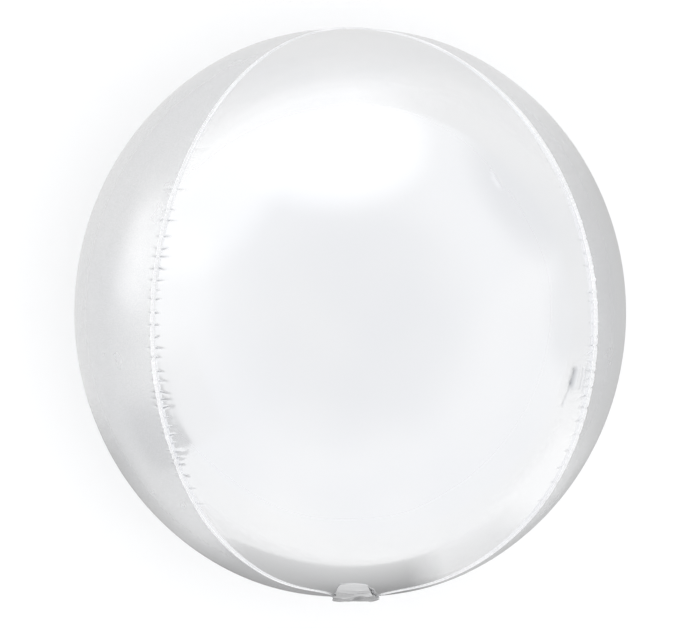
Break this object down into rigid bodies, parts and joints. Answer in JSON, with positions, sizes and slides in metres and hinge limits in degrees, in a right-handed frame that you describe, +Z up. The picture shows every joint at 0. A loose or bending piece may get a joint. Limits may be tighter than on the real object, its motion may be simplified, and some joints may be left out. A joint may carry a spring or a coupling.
{
  "type": "orb foil balloon",
  "caption": "Sealed orb balloon of white metallised film, made of gored panels with raised seams and a flat filling tail, lying on its back panel.",
  "frame": {"origin": "middle of the small flat patch on the back panel that the orb rests on", "axes": "+Z up, out of the front panel's middle; +Y from the filling tail to the upper pole; +X to the right"},
  "size_m": [0.38, 0.4012, 0.3779],
  "materials": {
    "panel_film": "glossy pearl white ink on metallised film",
    "side_film": "pearl white film that looks finely grained at a slant",
    "tail_film": "clear glossy heat-sealed film, white"
  },
  "bodies": {
    "root": {"front_panel": "panel_film", "right_panel": "side_film", "back_panel": "panel_film", "left_panel": "side_film", "filling_tail": "tail_film"}
  },
  "joints": []
}
